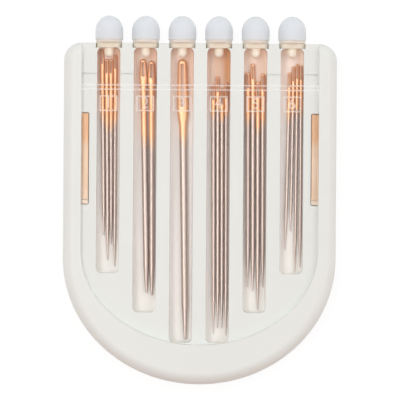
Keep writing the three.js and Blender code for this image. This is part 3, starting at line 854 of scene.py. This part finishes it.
def rib_groove():
    """A fine groove along the middle of the cross rib."""
    low = (-COVER_HIGH.x - SPARE, TOP - RIB_DEPTH - RIB_GROOVE / 2, COVER_TOP - RIB_GROOVE)
    high = (COVER_HIGH.x + SPARE, TOP - RIB_DEPTH + RIB_GROOVE / 2, COVER_HIGH.z + SPARE)
    return block("groove_cutter", low, high)


def numeral(number):
    """The channel's number, raised inside its frame."""
    rise = FRAME_HEIGHT + SUNK
    bpy.ops.object.text_add(location=(0, 0, 0))
    text = bpy.context.object
    text.data.body = str(number)
    text.data.align_x = "CENTER"
    text.data.align_y = "CENTER"
    text.data.size = NUMERAL_HEIGHT / FIGURE_SHARE
    text.data.extrude = rise / 2
    only(text)
    bpy.ops.object.convert(target="MESH")
    figure = bpy.context.object
    figure.location = (channel_x(number), TOP - FRAME_DEPTH, COVER_TOP - SUNK + rise / 2)
    figure = named("numeral")
    with editing(figure):
        bpy.ops.mesh.select_all(action="SELECT")
        bpy.ops.mesh.remove_doubles(threshold=TOUCH)
        face_outwards()
    return figure


def make_clear_cover(polished, matt):
    """The clear plate with its grooved cross rib, and a framed numeral over each channel."""
    cover = d_plate("clear_front_cover", COVER_HIGH.x, COVER_HIGH.y, COVER_LOW.y,
                    RECESS_ARC - COVER_CLEARANCE, COVER_LOW.z, COVER_TOP)
    with editing(cover):
        pick(cover, "EDGE", lambda edge: is_corner(edge, COVER_LOW.z, COVER_TOP))
        bpy.ops.mesh.bevel(offset=COVER_EDGE, segments=FINE_STEPS, affect="EDGES")
    rib_height = COVER_HIGH.z - COVER_TOP
    rib = raised_frame((0, TOP - RIB_DEPTH), 2 * COVER_HIGH.x, RIB_WIDTH, rib_height)
    combine(cover, rib, "UNION")
    combine(cover, rib_groove(), "DIFFERENCE")
    for number in CHANNELS:
        spot = (channel_x(number), TOP - FRAME_DEPTH)
        combine(cover, raised_frame(spot, FRAME_WIDTH, FRAME_LENGTH, FRAME_HEIGHT), "UNION")
        combine(cover, numeral(number), "UNION")
    dress(cover, "clear_cover", polished)
    finish_faces(cover, matt, lambda spot: spot.z > COVER_TOP + SUNK)


# Stoppers
def stopper_profile(low, high):
    """From the nose of the plug to the crown of the dome, in heights above the tray's top edge."""
    dome = (high.x - low.x) / 2
    nose = low.y - TOP + PLUG_RADIUS
    shoulder = STOPPER_GAP + DOME_STRAIGHT
    crown = high.y - TOP - shoulder
    base = STOPPER_GAP + FOOT_HEIGHT
    foot = dome - FOOT_SET_BACK
    rounding = list(reversed(quarter(DOME_EDGE, DOME_EDGE, DOME_EDGE_STEPS)))
    plug_end = reversed(quarter(PLUG_RADIUS, PLUG_RADIUS, NOSE_STEPS))
    points = [(radius, nose - height) for radius, height in plug_end]
    points.append((PLUG_RADIUS, STOPPER_GAP))
    points += [(foot - DOME_EDGE + radius, STOPPER_GAP + DOME_EDGE - height) for radius, height in rounding]
    points.append((foot, base))
    points += [(dome - DOME_EDGE + radius, base + DOME_EDGE - height) for radius, height in rounding]
    points += [(radius, shoulder + height) for radius, height in quarter(dome, crown, DOME_STEPS)]
    points[0] = (0.0, points[0][1])
    points[-1] = (0.0, points[-1][1])
    return points


def stopper_collar():
    """The flat-sided collar that fills a mouth, with its axis along Y and the tray's top edge at y = 0."""
    low = (-COLLAR_WIDTH / 2, -COLLAR_REACH, -COLLAR_HEIGHT / 2)
    high = (COLLAR_WIDTH / 2, STOPPER_GAP + FOOT_HEIGHT / 2, COLLAR_HEIGHT / 2)
    collar = block("collar", low, high)
    with editing(collar):
        pick(collar, "EDGE", lambda edge: runs_along(edge, 1))
        bpy.ops.mesh.bevel(offset=COLLAR_CORNER, segments=CORNER_STEPS, affect="EDGES")
        pick(collar, "EDGE", lambda edge: max(vert.co.y for vert in edge.verts) < TOUCH - COLLAR_REACH)
        bpy.ops.mesh.bevel(offset=COLLAR_EDGE, segments=RIM_STEPS, affect="EDGES")
    return collar


def make_stoppers(material):
    """Six stoppers, modelled once and copied."""
    low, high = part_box("stopper_1")
    model = lathe("stopper_model", stopper_profile(low, high), STOPPER_SIDES)
    combine(model, stopper_collar(), "UNION")
    for number in CHANNELS:
        stopper = copy_of(model, f"frosted_stopper_{number}")
        stopper.location = (channel_x(number), TOP, AXIS)
        bpy.ops.object.transform_apply(location=True, rotation=False, scale=False)
        dress(stopper, f"stopper_{number}", material)
    bpy.data.objects.remove(model)


# Side strips
def make_strip(node, material):
    """A flat brass bar with a raised step at its lower end."""
    low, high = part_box(node)
    step_y = low.y + STRIP_STEP
    strip = block(f"brass_{node}", low, (high.x, high.y, high.z - STRIP_STEP_HEIGHT))
    with editing(strip):
        bpy.ops.mesh.select_all(action="SELECT")
        bpy.ops.mesh.bisect(plane_co=(0, step_y, 0), plane_no=(0, 1, 0))
        pick(strip, "FACE",
             lambda face: face.normal.z > FACES_UP and face.calc_center_median().y < step_y)
        bpy.ops.mesh.extrude_region_move(TRANSFORM_OT_translate={"value": (0, 0, STRIP_STEP_HEIGHT)})
        pick(strip, "EDGE", lambda edge: is_corner(edge, low.z + STRIP_SHARP, high.z))
        bpy.ops.mesh.bevel(offset=STRIP_ROUND, segments=RIM_STEPS, affect="EDGES")
    dress(strip, node, material)


# Needles
def needle_rings(sizes):
    """Rings of a needle from its eye: distance from the eye's top, half width and half thickness."""
    shaft, eye, eye_top = sizes.shaft, sizes.eye, sizes.eye_top
    tip = sizes.tip / 2
    end = eye_top / 2
    flat = EYE_THICKNESS_RATIO * shaft / 2
    shoulder = sizes.eye_length - EYE_SHOULDER_RATIO * eye
    root = SHAFT_TAPER_RATIO * shaft / 2
    # The round top of the eye starts in a single point.
    rings = [(0.0, 0.0, 0.0)]
    for radius, height in reversed(quarter(end, end, NEEDLE_STEPS)[:-1]):
        rings.append((end - height, radius, flat * radius / end))
    # The eye widens to its shoulder.
    for step in range(1, NEEDLE_STEPS + 1):
        share = step / NEEDLE_STEPS
        width = eye_top + (eye - eye_top) * share
        rings.append((end + (shoulder - end) * share, width / 2, flat))
    # The flat shoulder turns into the round shaft.
    for step in range(1, NEEDLE_STEPS + 1):
        share = (1 - math.cos(math.pi * step / NEEDLE_STEPS)) / 2
        width = eye + (shaft - eye) * share
        distance = shoulder + (sizes.eye_length - shoulder) * step / NEEDLE_STEPS
        rings.append((distance, width / 2, flat + (shaft / 2 - flat) * share))
    # The point runs down to the tip.
    for step in range(NEEDLE_STEPS + 1):
        share = step / NEEDLE_STEPS
        radius = tip + (root - tip) * (1 - share)
        rings.append((MODEL_LENGTH - sizes.point + (sizes.point - tip) * share, radius, radius))
    rings.append((MODEL_LENGTH, 0.0, 0.0))
    return rings


def eye_cutter(sizes):
    """The long hole of the eye, through the needle from front to back."""
    half = EYE_SLOT_RATIO * sizes.eye_top / 2
    upper = -sizes.eye_top / 2
    lower = EYE_SHOULDER_RATIO * sizes.eye - sizes.eye_length
    low = (-half, lower, -sizes.shaft)
    high = (half, upper, sizes.shaft)
    cutter = block("eye_cutter", low, high, EYE_CORNER_RATIO * half)
    with editing(cutter):
        pick(cutter, "VERT", lambda vert: vert.co.y < (lower + upper) / 2)
        bpy.ops.transform.resize(value=(sizes.eye / sizes.eye_top, 1, 1), center_override=(0, lower, 0))
    return cutter


def needle_model(number):
    """A needle with its eye at the origin and its point down along -Y."""
    sizes = NEEDLE_SETS[number]
    rings = needle_rings(sizes)
    profile = [(width, -distance) for distance, width, thickness in rings]
    model = lathe(f"needle_model_{number}", profile, NEEDLE_SIDES)
    with editing(model):
        for distance, width, thickness in rings:
            if width - thickness > TOUCH:
                pick(model, "VERT", lambda vert: abs(vert.co.y + distance) < TOUCH)
                bpy.ops.transform.resize(value=(1, 1, thickness / width), center_override=(0, -distance, 0))
    combine(model, eye_cutter(sizes), "DIFFERENCE")
    return model


def needle_ends(node):
    """The top of a needle's eye and its point, as the CAD part has them."""
    spots = [vert.co for vert in frame["nodes"][node].data.vertices]
    highest = max(spot.y for spot in spots)
    eye = [spot for spot in spots if highest - spot.y < TOUCH]
    return sum(eye, Vector()) / len(eye), min(spots, key=lambda spot: spot.y)


def make_needle(model, node, sizes, material):
    """A copy of its set's model, brought to its own length and laid where the CAD part has it."""
    eye, tip = needle_ends(node)
    needle = copy_of(model, f"gilt_eye_{node}")
    with editing(needle):
        pick(needle, "VERT", lambda vert: vert.co.y < sizes.point - MODEL_LENGTH + TOUCH)
        bpy.ops.transform.translate(value=(0, MODEL_LENGTH - (tip - eye).length, 0))
    gilding = needle.data.attributes.new("gilding", "FLOAT", "POINT")
    gilding.data.foreach_set("value", [-vert.co.y / sizes.gilded for vert in needle.data.vertices])
    wire = needle.data.attributes.new("wire", "FLOAT_VECTOR", "POINT")
    wire.data.foreach_set("vector", [number for vert in needle.data.vertices for number in vert.co])
    needle.rotation_euler.z = math.atan2(tip.x - eye.x, eye.y - tip.y)
    needle.location = (eye.x, eye.y, tip.z)
    only(needle)
    bpy.ops.object.transform_apply(location=True, rotation=True, scale=False)
    dress(needle, node, material, smooth=NEEDLE_SMOOTH_EDGE)


def make_needles(material):
    """The needles of each channel, from one model for each set."""
    for number in CHANNELS:
        model = needle_model(number)
        for node in sorted(name for name in frame["nodes"] if name.startswith(f"needle_{number}")):
            make_needle(model, node, NEEDLE_SETS[number], material)
        bpy.data.objects.remove(model)


# Stage. The camera looks straight down, and PIXEL is what one pixel of the image covers at PLANE_HEIGHT.
CAMERA_HEIGHT = 0.8
CAMERA_SPOT = (0.11 * MM, 0.03 * MM)
CAMERA_ROLL = math.radians(0.4)
PLANE_HEIGHT = 5 * MM
PIXEL = 0.28 * MM
IMAGE = 400
SENSOR = 36.0
FLOOR_SIZE = 6.0
FLOOR_DROP = 0.1 * MM


def make_camera():
    """A camera straight above the case, in the photograph's frame."""
    data = bpy.data.cameras.new("camera")
    data.sensor_width = SENSOR
    data.lens = SENSOR * (CAMERA_HEIGHT - PLANE_HEIGHT) / (IMAGE * PIXEL)
    camera = bpy.data.objects.new("camera", data)
    camera.location = (*CAMERA_SPOT, CAMERA_HEIGHT)
    camera.rotation_euler = (0, 0, CAMERA_ROLL)
    bpy.context.scene.collection.objects.link(camera)
    bpy.context.scene.camera = camera


def make_lamp(name, power, size, spot):
    """A soft lamp with its long side along the needles, turned about Y to face the object."""
    data = bpy.data.lights.new(name, "AREA")
    data.shape = "RECTANGLE"
    data.size, data.size_y = size
    data.energy = power
    lamp = bpy.data.objects.new(name, data)
    lamp.location = spot
    lamp.rotation_euler.y = math.atan2(spot[0], spot[2])
    bpy.context.scene.collection.objects.link(lamp)


def make_world():
    """A soft room: white where it is seen or mirrored. The light that it gives is dim from above, stronger
    from the left and the right, and warm and dark from -Y."""
    world = bpy.data.worlds.new("studio")
    world.use_nodes = True
    tree = world.node_tree
    tree.nodes.clear()
    way = add(tree, "ShaderNodeTexCoord").outputs["Generated"]
    place = add(tree, "ShaderNodeSeparateXYZ", {"Vector": way}).outputs
    aside = add(tree, "ShaderNodeMath", {0: place["X"]}, operation="ABSOLUTE").outputs[0]
    # The warm side gives way to white sooner to the left and the right.
    warm_spread = 0.6
    turned = add(tree, "ShaderNodeMath", {0: aside, 1: warm_spread, 2: place["Y"]},
                 operation="MULTIPLY_ADD").outputs[0]
    share = add(tree, "ShaderNodeMapRange",
                {"Value": turned, "From Min": -0.45, "From Max": 0.1}).outputs[0]
    colour = add(tree, "ShaderNodeMix",
                 {MIX_FACTOR: share, MIX_A: linear("#B8622A"), MIX_B: linear("#FDFEFF")},
                 data_type="RGBA").outputs[MIX_RESULT]
    power = add(tree, "ShaderNodeMapRange",
                {"Value": aside, "From Min": 0.5, "From Max": 1.0, "To Min": 0.56,
                 "To Max": 1.2}).outputs[0]
    light = add(tree, "ShaderNodeBackground", {"Color": colour, "Strength": power})
    white = add(tree, "ShaderNodeBackground", {"Color": linear("#FFFFFF"), "Strength": 1.0})
    both = add(tree, "ShaderNodeMixShader",
               {0: is_ray(tree, LOOKING_RAYS), 1: light.outputs[0], 2: white.outputs[0]})
    add(tree, "ShaderNodeOutputWorld", {"Surface": both.outputs[0]})
    bpy.context.scene.world = world


def make_floor():
    """A white table: seen as white with the object's soft shadow, and a plain matt white to other light."""
    bpy.ops.mesh.primitive_plane_add(size=FLOOR_SIZE, location=(0, 0, -FLOOR_DROP))
    floor = named("floor")
    material, tree = new_material("white_table")
    matt = add(tree, "ShaderNodeBsdfDiffuse", {"Color": linear("#F5F2EE")})
    shade = add(tree, "ShaderNodeBsdfDiffuse", {"Color": linear("#6A6A6A")})
    white = add(tree, "ShaderNodeEmission", {"Color": linear("#FFFFFF"), "Strength": 0.88})
    bright = add(tree, "ShaderNodeAddShader", {0: shade.outputs[0], 1: white.outputs[0]})
    both = add(tree, "ShaderNodeMixShader",
               {0: is_ray(tree, LOOKING_RAYS), 1: matt.outputs[0], 2: bright.outputs[0]})
    add(tree, "ShaderNodeOutputMaterial", {"Surface": both.outputs[0]})
    floor.data.materials.append(material)


def make_stage():
    """Camera, room, table and two lamps."""
    make_camera()
    make_world()
    make_floor()
    make_lamp("window", power=2.5, size=(0.25, 0.8), spot=(-0.26, 0.15, 0.78))
    make_lamp("fill", power=1.3, size=(0.35, 0.8), spot=(0.37, 0.15, 0.64))
    bpy.context.scene.view_settings.view_transform = "Standard"


make_stage()
white_plastic = moulded_white_polystyrene()
brass = brushed_brass()
# The channels' material carries painted light and a painted reflection of the gilt eyes.
make_tray(white_plastic, thin_walled_white_polystyrene())
make_rear_cover(white_plastic)
make_clear_cover(polished_clear_polystyrene(), matt_clear_polystyrene())
make_stoppers(frosted_polyethylene())
make_strip("left_strip", brass)
make_strip("right_strip", brass)
make_needles(gilt_nickel_steel())
